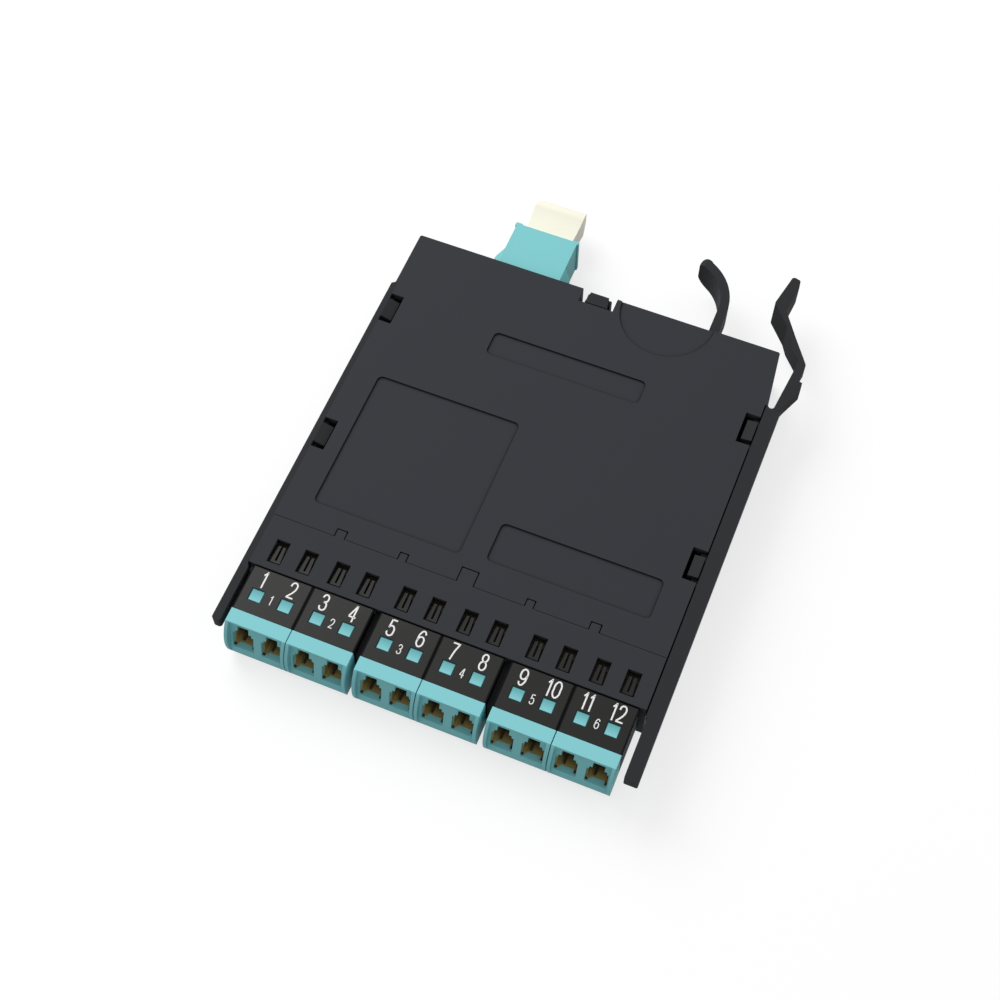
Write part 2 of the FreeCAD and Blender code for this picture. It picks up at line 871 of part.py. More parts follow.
def label_clip(index):
    """Number plate over an adapter: two windows, a step under the hood and a split barb at each port."""
    x = adapter_x(index)
    left = x - adapter_width / 2
    right = x + adapter_width / 2
    front = front_y - adapter_top_reach + strip_width
    back = front_y - label_back_gap
    tail_back = front_y + fork_start + seat_clearance
    clip = prism(
        "yz",
        [
            (front, label_bed),
            (back - tail_thickness, label_bed),
            (back - tail_thickness, tail_bottom),
            (tail_back, tail_bottom),
            (tail_back, tail_top),
            (back, tail_top),
            (back, adapter_top),
            (front, adapter_top),
        ],
        left,
        right,
    )
    forks = []
    cutters = []
    window_y = front_y - window_back
    for port_x in port_xs(index):
        start = front_y + fork_start
        end = start + fork_length
        forks.append(
            prism(
                "xy",
                [
                    (port_x - fork_base_width / 2, start),
                    (port_x + fork_base_width / 2, start),
                    (port_x + fork_tip_width / 2, end),
                    (port_x - fork_tip_width / 2, end),
                ],
                tail_bottom,
                tail_bottom + fork_height,
            )
        )
        cutters.append(slab(port_x - fork_slot / 2, port_x + fork_slot / 2, start + 0.5, end + 1,
                            tail_bottom, body_height))
        half = window_width / 2 + window_clearance
        reach = window_length / 2 + window_clearance
        cutters.append(slab(port_x - half, port_x + half, window_y - reach, window_y + reach,
                            label_bed, adapter_top))
    return joined([clip, *forks]).cut(cutters)


def inner_plug(x):
    """LC plug behind a port: square body with its latch arm, ferrule in front, tapered boot behind."""
    half = socket_width / 2 - plug_clearance
    body = slab(x - half, x + half, lc_plug_front, lc_plug_rear, socket_axis - half, socket_axis + half)
    top = socket_axis + half
    arm = prism(
        "yz",
        [
            (lc_plug_front + 1.5, top - 0.3),
            (lc_plug_front + 9.5, top - 0.3),
            (lc_plug_front + 9.5, top + latch_arm_rise),
            (lc_plug_front + 8.5, top + latch_arm_rise),
        ],
        x - latch_arm_width / 2,
        x + latch_arm_width / 2,
    )
    tip = bar(ferrule_radius, sleeve_sides, x, socket_axis, mate_y + seat_clearance, lc_plug_front + 1)
    boot = bar(boot_root_radius, sleeve_sides, x, socket_axis, lc_plug_rear, boot_end, boot_tip_radius)
    return joined([body, arm, tip, boot])


def leg_route(number):
    """Where leg number 0 to 11 runs, from the fan-out block to its plug's boot."""
    index, side = divmod(number, 2)
    end_x = port_xs(index)[side]
    starts = [mpo_x + (n - 5.5) * leg_pitch for n in range(2 * adapter_count)]
    start_x = starts[number]
    going_right = end_x > start_x
    rightward = [n for n, x in enumerate(starts) if port_xs(n // 2)[n % 2] > x]
    order = max(rightward) - number if going_right else number
    bend_y = block_front - leg_lead - order * leg_stagger
    return [
        Vector(start_x, block_front, mpo_axis),
        Vector(start_x, bend_y, mpo_axis),
        Vector(end_x, boot_end + leg_tail, socket_axis),
        Vector(end_x, boot_end, socket_axis),
    ]


def leg_radii(route):
    """The arc at each inner point: 0.45 of the shorter run over the tangent of half the turn."""
    radii = []
    for before, here, after in zip(route, route[1:], route[2:]):
        turn = (here - before).getAngle(after - here)
        shorter = min((here - before).Length, (after - here).Length)
        radii.append(0.45 * shorter / math.tan(turn / 2))
    return radii


def leg_path(route):
    """Straight runs joined by tangent arcs."""
    edges = []
    here = route[0]
    for before, corner, after, radius in zip(route, route[1:], route[2:], leg_radii(route)):
        back = (before - corner).normalize()
        onward = (after - corner).normalize()
        half = back.getAngle(onward) / 2
        inward = (back + onward).normalize()
        start = corner + back * (radius / math.tan(half))
        middle = corner + inward * (radius / math.sin(half) - radius)
        end = corner + onward * (radius / math.tan(half))
        edges.append(Part.LineSegment(here, start).toShape())
        edges.append(Part.Arc(start, middle, end).toShape())
        here = end
    edges.append(Part.LineSegment(here, route[-1]).toShape())
    return Part.Wire(edges)


def fibre_leg(number):
    """One fibre's jacket, drawn four-sided to keep its faces few."""
    route = leg_route(number)
    start = route[0]
    half = leg_width / 2
    corners = rect(start.x - half, start.x + half, start.z - half, start.z + half)
    return leg_path(route).makePipeShell([rounded_wire("xz", corners, start.y)], True, False)


def fanout_block():
    """The block where the trunk's twelve fibres part."""
    half = 6 * leg_pitch + 0.4
    return prism(
        "xy",
        [
            (mpo_x - half, block_front, 0.6),
            (mpo_x + half, block_front, 0.6),
            (mpo_x + half, block_front + block_length * 0.45, 1.0),
            (mpo_x + 2.2, block_rear, 0.4),
            (mpo_x - 2.2, block_rear, 0.4),
            (mpo_x - half, block_front + block_length * 0.45, 1.0),
        ],
        mpo_axis - block_height / 2,
        mpo_axis + block_height / 2,
    )


def mpo_adapter():
    """MPO adapter: flange outside the rear wall, retaining rib inside, a keyed socket at both ends."""
    half = mpo_width / 2
    flange = mpo_flange_width / 2
    flange_end = rear_y + mpo_flange_length
    body = prism(
        "xy",
        [
            (mpo_x - half, mpo_front),
            (mpo_x + half, mpo_front),
            (mpo_x + half, rear_y - rear_wall - mpo_clearance - mpo_rib_thickness),
            (mpo_x + flange, rear_y - rear_wall - mpo_clearance - mpo_rib_thickness),
            (mpo_x + flange, rear_y - rear_wall - mpo_clearance),
            (mpo_x + half, rear_y - rear_wall - mpo_clearance),
            (mpo_x + half, rear_y + mpo_clearance),
            (mpo_x + flange, rear_y + mpo_clearance),
            (mpo_x + flange, flange_end),
            (mpo_x + half, flange_end + mpo_flange_taper),
            (mpo_x + half, mpo_rear),
            (mpo_x - half, mpo_rear),
            (mpo_x - half, flange_end + mpo_flange_taper),
            (mpo_x - flange, flange_end),
            (mpo_x - flange, rear_y + mpo_clearance),
            (mpo_x - half, rear_y + mpo_clearance),
            (mpo_x - half, rear_y - rear_wall - mpo_clearance),
            (mpo_x - flange, rear_y - rear_wall - mpo_clearance),
            (mpo_x - flange, rear_y - rear_wall - mpo_clearance - mpo_rib_thickness),
            (mpo_x - half, rear_y - rear_wall - mpo_clearance - mpo_rib_thickness),
        ],
        floor_thickness,
        cover_bottom,
    )
    slope = mpo_flange_slope
    section = [
        (mpo_x - half, floor_thickness),
        (mpo_x + half, floor_thickness),
        (mpo_x + flange, floor_thickness + slope),
        (mpo_x + flange, cover_bottom - slope),
        (mpo_x + half, cover_bottom),
        (mpo_x - half, cover_bottom),
        (mpo_x - flange, cover_bottom - slope),
        (mpo_x - flange, floor_thickness + slope),
    ]
    body = body.common(prism("xz", section, mpo_front - 1, mpo_rear + 1))
    lip = slab(mpo_x - half - mpo_lip_height, mpo_x + half + mpo_lip_height, mpo_rear - mpo_lip_length,
               mpo_rear, floor_thickness, cover_bottom)
    relief = half - mpo_lip_edge
    middle = slab(mpo_x - relief, mpo_x + relief, mpo_rear - mpo_lip_relief, mpo_rear + 1, 0, body_height)
    body = joined([body, lip]).cut(middle)
    wide = mpo_socket_width / 2
    tall = mpo_socket_height / 2
    key = mpo_key_width / 2
    keyed = [
        (mpo_x - wide, mpo_axis - tall, 0.4),
        (mpo_x + wide, mpo_axis - tall, 0.4),
        (mpo_x + wide, mpo_axis + tall, 0.4),
        (mpo_x + key, mpo_axis + tall),
        (mpo_x + key, mpo_axis + tall + mpo_key_height),
        (mpo_x - key, mpo_axis + tall + mpo_key_height),
        (mpo_x - key, mpo_axis + tall),
        (mpo_x - wide, mpo_axis + tall, 0.4),
    ]
    ferrule_hole = rect(mpo_x - ferrule_width / 2 - 0.3, mpo_x + ferrule_width / 2 + 0.3,
                        mpo_axis - ferrule_height / 2 - 0.3, mpo_axis + ferrule_height / 2 + 0.3, 0.3)
    body = body.cut([
        prism("xz", keyed, mpo_web_rear, mpo_rear + 1),
        prism("xz", keyed, mpo_front - 1, mpo_web_front),
        prism("xz", ferrule_hole, mpo_web_front - 1, mpo_web_rear + 1),
    ])
    hooks = []
    for side in (-1, 1):
        outer = mpo_x + side * (wide - 0.4)
        hooks.append(
            prism(
                "xy",
                [
                    (outer, mpo_web_rear - 0.5),
                    (outer, mpo_web_rear + mpo_hook_length - 1.0),
                    (outer + side * 0.3, mpo_web_rear + mpo_hook_length - 0.6),
                    (outer - side * mpo_hook_thickness, mpo_web_rear + mpo_hook_length),
                    (outer - side * mpo_hook_thickness, mpo_web_rear - 0.5),
                ],
                mpo_axis - mpo_hook_height / 2,
                mpo_axis + mpo_hook_height / 2,
            )
        )
    return joined([body, *hooks])


def mpo_ferrule():
    """Rectangular twelve-fibre ferrule with its shoulder and two guide pins."""
    front = ferrule_tip - ferrule_length
    half = ferrule_width / 2
    tall = ferrule_height / 2
    body = prism("xz", rect(mpo_x - half, mpo_x + half, mpo_axis - tall, mpo_axis + tall), front, ferrule_tip)
    grown = ferrule_shoulder
    shoulder = prism("xz", rect(mpo_x - half - grown, mpo_x + half + grown, mpo_axis - tall - grown,
                                mpo_axis + tall + grown), front, front + 2)
    pins = [
        bar(guide_pin_radius, sleeve_sides, mpo_x + side * guide_pin_spacing / 2, mpo_axis, ferrule_tip - 1,
            ferrule_tip + guide_pin_reach)
        for side in (-1, 1)
    ]
    return joined([body, shoulder, *pins])


def mpo_plug():
    """The harness's own MPO plug: rounded housing with the ferrule's space in front, boot behind."""
    half = mpo_socket_width / 2 - 0.3
    tall = mpo_socket_height / 2 - 0.2
    housing = prism("xz", rect(mpo_x - half, mpo_x + half, mpo_axis - tall, mpo_axis + tall, 1.0),
                    plug_rear, mpo_web_front - 0.1)
    key = slab(mpo_x - mpo_key_width / 2 + 0.3, mpo_x + mpo_key_width / 2 - 0.3, mpo_front - 2,
               mpo_web_front - 0.3, mpo_axis + tall - 0.1, mpo_axis + tall + mpo_key_height - 0.1)
    boot = bar(mpo_boot_tip_radius, holder_sides, mpo_x, mpo_axis, trunk_start, plug_rear, mpo_boot_radius)
    grown = ferrule_shoulder + 0.1
    space = prism("xz", rect(mpo_x - ferrule_width / 2 - grown, mpo_x + ferrule_width / 2 + grown,
                             mpo_axis - ferrule_height / 2 - grown, mpo_axis + ferrule_height / 2 + grown),
                  ferrule_tip - ferrule_length, mpo_web_front + 1)
    return joined([housing, key, boot]).cut(space)


def mpo_cap():
    """Dust cap: grip waisted and rounded in side view, hollow plug in the socket's mouth."""
    start = mpo_rear - mpo_lip_relief + seat_clearance
    end = mpo_rear + cap_length
    wide_y = start + cap_wide_y
    plan = prism(
        "xy",
        [
            (mpo_x - cap_base_width / 2, start),
            (mpo_x + cap_base_width / 2, start),
            (mpo_x + cap_wide_width / 2, wide_y),
            (mpo_x + cap_tip_width / 2, end, cap_corner),
            (mpo_x - cap_tip_width / 2, end, cap_corner),
            (mpo_x - cap_wide_width / 2, wide_y),
        ],
        mpo_axis - cap_bulb_height,
        mpo_axis + cap_bulb_height,
    )
    base = cap_base_height / 2
    waist = cap_waist_height / 2
    bulb = cap_bulb_height / 2
    tip = cap_tip_height / 2
    waist_y = start + cap_waist_y
    tip_y = end - (end - wide_y) / 5
    side = path_prism(
        "yz",
        [
            (start, mpo_axis - base),
            (waist_y, mpo_axis - waist, wide_y, mpo_axis - bulb),
            (tip_y, mpo_axis - tip, end, mpo_axis),
            (tip_y, mpo_axis + tip, wide_y, mpo_axis + bulb),
            (waist_y, mpo_axis + waist, start, mpo_axis + base),
        ],
        mpo_x - cap_wide_width,
        mpo_x + cap_wide_width,
    )
    wide = cap_plug_width / 2
    tall = cap_plug_height / 2
    plug = prism("xz", rect(mpo_x - wide, mpo_x + wide, mpo_axis - tall, mpo_axis + tall, 0.8),
                 start - cap_plug_depth, start + 1)
    inner_wide = wide - cap_wall
    inner_tall = tall - cap_wall / 2
    bore = rect(mpo_x - inner_wide, mpo_x + inner_wide, mpo_axis - inner_tall, mpo_axis + inner_tall, 0.4)
    hollow = prism("xz", bore, start - cap_plug_depth - 1, end - cap_end_wall)
    return joined([plan.common(side), plug]).cut(hollow)


def release_lever():
    """Springy arm with a catch tooth and a cranked thumb paddle, on a round root in the right rail."""
    root = Part.makeCylinder(lever_half_thickness, rail_height, Vector(pivot_x, pivot_y, rail_bottom))
    plan = [(pivot_x + x, pivot_y + y, radius) for x, y, radius in zip(lever_x, lever_y, lever_rounds)]
    low = body_height - paddle_height
    lever = prism("xy", plan, low, body_height)
    under = prism(
        "yz",
        [
            (pivot_y - 2 * lever_half_thickness, low - rail_height),
            (pivot_y + ramp_end, low - rail_height),
            (pivot_y + ramp_end, low),
            (pivot_y + ramp_start, rail_bottom),
            (pivot_y - 2 * lever_half_thickness, rail_bottom),
        ],
        pivot_x + 2 * min(lever_x),
        pivot_x + 2 * max(lever_x),
    )
    rise_y = pivot_y + tip_rise_start
    tip_y = pivot_y + max(lever_y)
    tip = prism("yz", [(rise_y, low - 1), (tip_y + 1, low - 1), (tip_y + 1, low + tip_rise), (rise_y, low)],
                pivot_x + 2 * min(lever_x), pivot_x)
    start = Vector(pivot_x + groove_x[0], pivot_y + groove_y[0], 0)
    end = Vector(pivot_x + groove_x[1], pivot_y + groove_y[1], 0)
    across = (end - start).normalize().cross(Vector(0, 0, groove_width / 2))
    groove = prism(
        "xy",
        [(point.x, point.y) for point in (start + across, end + across, end - across, start - across)],
        body_height - groove_depth,
        body_height,
    )
    return joined([lever.cut([under, tip, groove]), root])


def write(name, shape):
    shape.exportStep(f"parts/{name}.step")


def main():
    os.makedirs("parts", exist_ok=True)
    write("base_tray", base_tray())
    write("top_cover", top_cover())
    write("front_hood", front_hood())
    write("release_lever", release_lever())
    for index in range(adapter_count):
        number = index + 1
        write(f"lc_adapter_{number}", lc_adapter(index))
        write(f"port_insert_{number}", port_insert(index))
        write(f"sleeve_pair_{number}", sleeve_pair(index))
        write(f"label_clip_{number}", label_clip(index))
    for number in range(2 * adapter_count):
        index, side = divmod(number, 2)
        write(f"inner_plug_{number + 1}", inner_plug(port_xs(index)[side]))
        write(f"fibre_leg_{number + 1}", fibre_leg(number))
        radii = ", ".join(f"{radius:.1f}" for radius in leg_radii(leg_route(number)))
        print(f"fibre_leg_{number + 1} bends at radii {radii}")
    write("fanout_block", fanout_block())
    write("trunk_tube", rod(trunk_radius, mpo_x, mpo_axis, block_rear, trunk_start))
    write("mpo_adapter", mpo_adapter())
    write("mpo_plug", mpo_plug())
    write("mpo_ferrule", mpo_ferrule())
    write("mpo_cap", mpo_cap())


main()
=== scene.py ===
"""Looks of the twelve-port fibre cassette: moulded plastics, printed numerals, camera and light."""

import json
import math

import bmesh
import bpy
from mathutils import Matrix, Vector


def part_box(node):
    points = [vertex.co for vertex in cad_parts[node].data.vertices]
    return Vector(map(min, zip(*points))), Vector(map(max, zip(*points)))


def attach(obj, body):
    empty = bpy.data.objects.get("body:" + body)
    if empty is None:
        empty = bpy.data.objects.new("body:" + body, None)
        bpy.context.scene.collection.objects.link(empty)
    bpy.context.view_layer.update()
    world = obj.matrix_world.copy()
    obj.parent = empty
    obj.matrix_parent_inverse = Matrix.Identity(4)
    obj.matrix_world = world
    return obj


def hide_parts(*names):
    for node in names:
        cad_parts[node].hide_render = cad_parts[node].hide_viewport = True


MM = 0.001

# The photograph's viewpoint: place and direction in the part's frame, focal length and film width
CAMERA_PLACE = Vector((60.26, -161.74, 305.48)) * MM
CAMERA_AHEAD = Vector((-0.1817, 0.4470, -0.8759))
CAMERA_LENS = 59.73
SENSOR_WIDTH = 36.0

# The pale floor, the sky and one soft lamp behind the left, in metres and watts
FLOOR_SIZE = 3.0
FLOOR_Z = -0.0002
FLOOR_TONE = 0.33
FLOOR_GLOW = 0.715
SKY_STRENGTH = 0.52
LAMP_PLACE = Vector((-0.62, 0.42, 0.70))
LAMP_SIZE = 0.7
LAMP_POWER = 7.2

# Rounded edges of the mouldings, in millimetres
EDGE_SIZES = {
    "base_tray": 0.16,
    "top_cover": 0.07,
    "front_hood": 0.07,
    "release_lever": 0.12,
    "lc_adapter": 0.10,
    "label_clip": 0.06,
    "mpo_adapter": 0.16,
    "mpo_cap": 0.45,
}
EDGE_SEGMENTS = 2
WELD_DISTANCE = 0.002
FLAT_ANGLE = math.radians(1.0)
SHARP_ANGLE = math.radians(35.0)

# Grain of the mouldings: the fine grain, and patches of gloss and tone about 22 mm across
GRAIN_DETAIL = 2.0
GRAIN_ROUGHNESS = 0.6
PATCH_SCALE = 45.0
PATCH_DETAIL = 3.0
GLOSS_SWING = 0.12

# Shade painted into corners and seams: how far a point looks round, in millimetres, the share of open
# surroundings
# at which it is darkest and at which it keeps its tone, and the tone that is left at the darkest
CREVICE_REACH = 1.0
CREVICE_OPENNESS = (0.58, 0.97)
CREVICE_DARKEST = 0.42
CREVICE_SAMPLES = 16

# Where painted shade starts to darken colours inside the ports and where it is darkest, in millimetres along
# y
ADAPTER_SHADE = (-50.6, -48.0)
SOCKET_SHADE = (-55.9, -53.4)

# Colour sockets of a Mix node, by number, because their names are shared with its other kinds
MIX_FROM, MIX_TO, MIX_RESULT = 6, 7, 2

# Six pairs of ports, and the distance between two ports in millimetres
PAIRS = range(1, 7)
PORT_PITCH = 6.25

# Numerals printed on the label clips: heights and places in millimetres, the rest in shares of a height
LARGE_HEIGHT = 3.75
LARGE_Y = -45.95
LARGE_SHIFT = -0.1
SMALL_HEIGHT = 2.15
SMALL_Y = -49.5
INK_THICKNESS = 0.02
DIGIT_SHARE = 0.44
NARROW_SHARE = 0.24
STROKE_SHARE = 0.098
GAP_SHARE = 0.11

# Strokes of each numeral in a box one wide and one high
SIX = [
    (0.95, 0.80), (0.80, 0.95), (0.52, 1.00), (0.14, 0.84), (0.00, 0.45), (0.10, 0.12), (0.50, 0.00),
    (0.90, 0.11), (1.00, 0.32), (0.90, 0.53), (0.55, 0.62), (0.18, 0.54), (0.02, 0.36),
]
STROKES = {
    "0": [[(0.50, 1.00), (0.92, 0.84), (1.00, 0.50), (0.92, 0.16), (0.50, 0.00), (0.08, 0.16), (0.00, 0.50),
           (0.08, 0.84), (0.50, 1.00)]],
    "1": [[(0.90, -0.05), (0.90, 1.04)], [(0.94, 0.98), (-0.05, 0.76)]],
    "2": [[(0.02, 0.72), (0.14, 0.92), (0.50, 1.00), (0.88, 0.91), (0.97, 0.71), (0.80, 0.46), (0.02, 0.02)],
          [(-0.08, 0.00), (1.06, 0.00)]],
    "3": [[(0.04, 0.78), (0.20, 0.95), (0.50, 1.00), (0.84, 0.92), (0.94, 0.75), (0.80, 0.58), (0.40, 0.53)],
          [(0.40, 0.53), (0.86, 0.46), (1.00, 0.27), (0.86, 0.06), (0.50, 0.00), (0.15, 0.06), (0.00, 0.25)]],
    "4": [[(0.76, -0.06), (0.76, 1.02)], [(0.74, 1.00), (0.02, 0.28)], [(-0.04, 0.26), (1.10, 0.26)]],
    "5": [[(0.96, 1.00), (0.16, 1.00)], [(0.20, 1.03), (0.10, 0.48)],
          [(0.10, 0.51), (0.30, 0.61), (0.60, 0.63), (0.91, 0.51), (1.00, 0.31), (0.88, 0.08), (0.50, 0.00),
           (0.15, 0.06), (0.00, 0.24)]],
    "6": [SIX],
    "7": [[(-0.05, 1.00), (1.08, 1.00)], [(1.00, 1.00), (0.62, 0.52), (0.38, -0.06)]],
    "8": [[(0.50, 1.00), (0.93, 0.77), (0.50, 0.54), (0.07, 0.77), (0.50, 1.00)],
          [(0.50, 0.54), (1.00, 0.27), (0.50, 0.00), (0.00, 0.27), (0.50, 0.54)]],
    "9": [[(1 - across, 1 - up) for across, up in SIX]],
}

# The port plate, which leans back as it rises, and the stepped sockets in it, in millimetres
PLATE_TOP = (-56.0, 10.8)
PLATE_SLOPE = 0.2396
SOCKET_HALVES = (2.25, 1.8, 1.215)
SOCKET_LEVELS = (3.0, 7.5, 8.2, 9.8)

# Brown linings of the sockets, in millimetres; starts and ends are measured back from the plate
LINING_THICKNESS = 0.22
LINING_START = 1.0
LINING_END = 4.2
FLOOR_START = 1.35
FLOOR_THICKNESS = 0.04
LEG_HEIGHT = 0.45
LEGS = (  # left, right, start
    (-2.25, -1.35, 0.75),
    (1.65, 2.25, 1.3),
)
# Dark boxes of painted shade at the rib ends
RIB_ENDS = (  # left, right, start, end, height
    (-2.25, -1.7, 0.35, 0.75, 0.35),
    (1.65, 2.1, 0.6, 1.3, 0.3),
    (-0.95, -0.45, 1.7, 4.0, 0.35),
    (1.75, 2.25, 1.3, 1.7, 1.2),
)

# Thin black sheets down the sides of a label clip and black strips along its top edges, painted shade in the
# gaps beside the clip, in millimetres
GAP_SHADE_THICKNESS = 0.05
GAP_SHADE_BOTTOM = 3.0
GAP_SHADE_DROP = 0.03
GAP_SHADE_FRONT_GAP = 0.02
GAP_SHADE_HOOD_GAP = 0.3
STRIP_WIDTH = 0.28
STRIP_DEPTH = 0.05
STRIP_RISE = 0.004

# Windows of a label clip and the dark rims in them, painted shade at the window edges, in millimetres
WINDOW_Y = -49.6
WINDOW_HALF = 1.35
WINDOW_REACH = 1.325
RIM_WIDTH = 0.14
RIM_DROP = 0.11
RIM_THICKNESS = 0.01

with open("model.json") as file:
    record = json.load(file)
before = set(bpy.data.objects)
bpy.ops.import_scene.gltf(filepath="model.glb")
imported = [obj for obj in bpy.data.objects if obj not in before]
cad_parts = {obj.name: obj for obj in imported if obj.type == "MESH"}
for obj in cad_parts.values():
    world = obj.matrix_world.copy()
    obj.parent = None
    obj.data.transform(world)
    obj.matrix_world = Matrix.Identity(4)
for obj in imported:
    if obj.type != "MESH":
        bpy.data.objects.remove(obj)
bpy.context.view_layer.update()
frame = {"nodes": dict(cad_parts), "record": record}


def add_math(tree, operation, *values):
    """The output of a Math node whose inputs are numbers or the outputs that feed them."""
    node = tree.nodes.new("ShaderNodeMath")
    node.operation = operation
    for socket, value in zip(node.inputs, values):
        if isinstance(value, float):
            socket.default_value = value
        else:
            tree.links.new(value, socket)
    return node.outputs[0]


def add_ramp(tree, value, start, end, least=0.0):
    """An output that runs from least to one as a value goes from start to end."""
    ramp = tree.nodes.new("ShaderNodeMapRange")
    ramp.inputs["From Min"].default_value = start
    ramp.inputs["From Max"].default_value = end
    ramp.inputs["To Min"].default_value = least
    tree.links.new(value, ramp.inputs["Value"])
    return ramp.outputs["Result"]


def scale_colour(tree, colour, factor):
    """A colour output made darker or lighter by a factor."""
    scaled = tree.nodes.new("ShaderNodeVectorMath")
    scaled.operation = "SCALE"
    tree.links.new(colour, scaled.inputs[0])
    tree.links.new(factor, scaled.inputs["Scale"])
    return scaled.outputs[0]


def new_group(name, inputs, outputs):
    """A shader node group with named sockets."""
    group = bpy.data.node_groups.new(name, "ShaderNodeTree")
    for label, kind, value in inputs:
        socket = group.interface.new_socket(label, in_out="INPUT", socket_type=kind)
        socket.default_value = value
    for label, kind in outputs:
        group.interface.new_socket(label, in_out="OUTPUT", socket_type=kind)
    return group, group.nodes.new("NodeGroupInput"), group.nodes.new("NodeGroupOutput")


def make_grain_group():
    """Spark-eroded grain of a moulding: bump, patchy gloss and a faint drift of colour."""
    group, given, result = new_group(
        "moulded_grain",
        [
            ("Colour", "NodeSocketColor", (0.5, 0.5, 0.5, 1.0)),
            ("Drift", "NodeSocketFloat", 0.05),
            ("Roughness", "NodeSocketFloat", 0.5),
            ("Grain Size", "NodeSocketFloat", 0.2),
            ("Grain Depth", "NodeSocketFloat", 0.01),
        ],
        [("Colour", "NodeSocketColor"), ("Roughness", "NodeSocketFloat"), ("Normal", "NodeSocketVector")],
    )
    nodes, links = group.nodes, group.links
    place = nodes.new("ShaderNodeTexCoord")

    grain = nodes.new("ShaderNodeTexNoise")
    grain.inputs["Detail"].default_value = GRAIN_DETAIL
    grain.inputs["Roughness"].default_value = GRAIN_ROUGHNESS
    links.new(place.outputs["Object"], grain.inputs["Vector"])
    links.new(add_math(group, "DIVIDE", 1.0 / MM, given.outputs["Grain Size"]), grain.inputs["Scale"])
    bump = nodes.new("ShaderNodeBump")
    links.new(add_math(group, "MULTIPLY", given.outputs["Grain Depth"], MM), bump.inputs["Distance"])
    links.new(grain.outputs["Fac"], bump.inputs["Height"])
    links.new(bump.outputs["Normal"], result.inputs["Normal"])

    patches = nodes.new("ShaderNodeTexNoise")
    patches.inputs["Scale"].default_value = PATCH_SCALE
    patches.inputs["Detail"].default_value = PATCH_DETAIL
    links.new(place.outputs["Object"], patches.inputs["Vector"])
    patch = patches.outputs["Fac"]
    gloss = add_math(group, "MULTIPLY_ADD", patch, GLOSS_SWING, given.outputs["Roughness"])
    links.new(add_math(group, "SUBTRACT", gloss, GLOSS_SWING / 2), result.inputs["Roughness"])
    swing = add_math(group, "MULTIPLY", add_math(group, "SUBTRACT", patch, 0.5), given.outputs["Drift"])
    tint = scale_colour(group, given.outputs["Colour"], add_math(group, "ADD", swing, 1.0))
    links.new(tint, result.inputs["Colour"])
    return group


GRAIN = make_grain_group()


def moulded(name, colour, roughness, grain_size=0.22, grain_depth=0.012, drift=0.06, specular=0.5):
    """A moulded plastic: the grain group feeds a Principled shader."""
    material = bpy.data.materials.new(name)
    material.use_nodes = True
    nodes, links = material.node_tree.nodes, material.node_tree.links
    surface = nodes["Principled BSDF"]
    surface.inputs["Specular IOR Level"].default_value = specular
    grain = nodes.new("ShaderNodeGroup")
    grain.node_tree = GRAIN
    grain.inputs["Colour"].default_value = (*colour, 1.0)
    grain.inputs["Drift"].default_value = drift
    grain.inputs["Roughness"].default_value = roughness
    grain.inputs["Grain Size"].default_value = grain_size
    grain.inputs["Grain Depth"].default_value = grain_depth
    links.new(grain.outputs["Colour"], surface.inputs["Base Color"])
    links.new(grain.outputs["Roughness"], surface.inputs["Roughness"])
    links.new(grain.outputs["Normal"], surface.inputs["Normal"])
    return material


def deepening(material, shade, dark):
    """Paints shade into a material's colour: it turns towards a darker one between two places along y, inside
    the ports.
    """
    tree = material.node_tree
    base = tree.nodes["Principled BSDF"].inputs["Base Color"]
    place = tree.nodes.new("ShaderNodeTexCoord")
    axes = tree.nodes.new("ShaderNodeSeparateXYZ")
    tree.links.new(place.outputs["Object"], axes.inputs[0])
    mix = tree.nodes.new("ShaderNodeMix")
    mix.data_type = "RGBA"
    mix.inputs[MIX_TO].default_value = (*dark, 1.0)
    tree.links.new(add_ramp(tree, axes.outputs["Y"], shade[0] * MM, shade[1] * MM), mix.inputs["Factor"])
    tree.links.new(base.links[0].from_socket, mix.inputs[MIX_FROM])
    tree.links.new(mix.outputs[MIX_RESULT], base)
    return material


def shade_crevices(material):
    """Paints shade into a material's colour in its corners and seams."""
    tree = material.node_tree
    base = tree.nodes["Principled BSDF"].inputs["Base Color"]
    openness = tree.nodes.new("ShaderNodeAmbientOcclusion")
    openness.samples = CREVICE_SAMPLES
    openness.inputs["Distance"].default_value = CREVICE_REACH * MM
    tone = add_ramp(tree, openness.outputs["AO"], *CREVICE_OPENNESS, CREVICE_DARKEST)
    tree.links.new(scale_colour(tree, base.links[0].from_socket, tone), base)
    return material


# The housing's charcoal carries painted shade in its corners and seams
HOUSING = shade_crevices(moulded("charcoal_moulding", (0.0425, 0.0445, 0.0515), 0.60, specular=0.05))
TRAY = moulded("charcoal_tray", (0.034, 0.035, 0.039), 0.60, specular=0.05)
LATCH = moulded("charcoal_lever", (0.035, 0.036, 0.038), 0.62, specular=0.03)
AQUA = moulded("aqua_moulding", (0.232, 0.622, 0.648), 0.50, grain_depth=0.006, specular=0.05)
# The adapters' aqua turns dark from the label clip windows backwards, painted shade on the bosses in the
# windows and on the sides in the gaps
PORT_AQUA = deepening(
    moulded("aqua_adapter", (0.262, 0.660, 0.700), 0.50, grain_depth=0.006, specular=0.05),
    ADAPTER_SHADE,
    (0.120, 0.400, 0.420),
)
# Dark teal of the rims in the label clip windows, painted shade at the window edges
WINDOW_SHADE = moulded("window_edge_shade", (0.020, 0.085, 0.095), 0.60, grain_depth=0.002, specular=0.1)
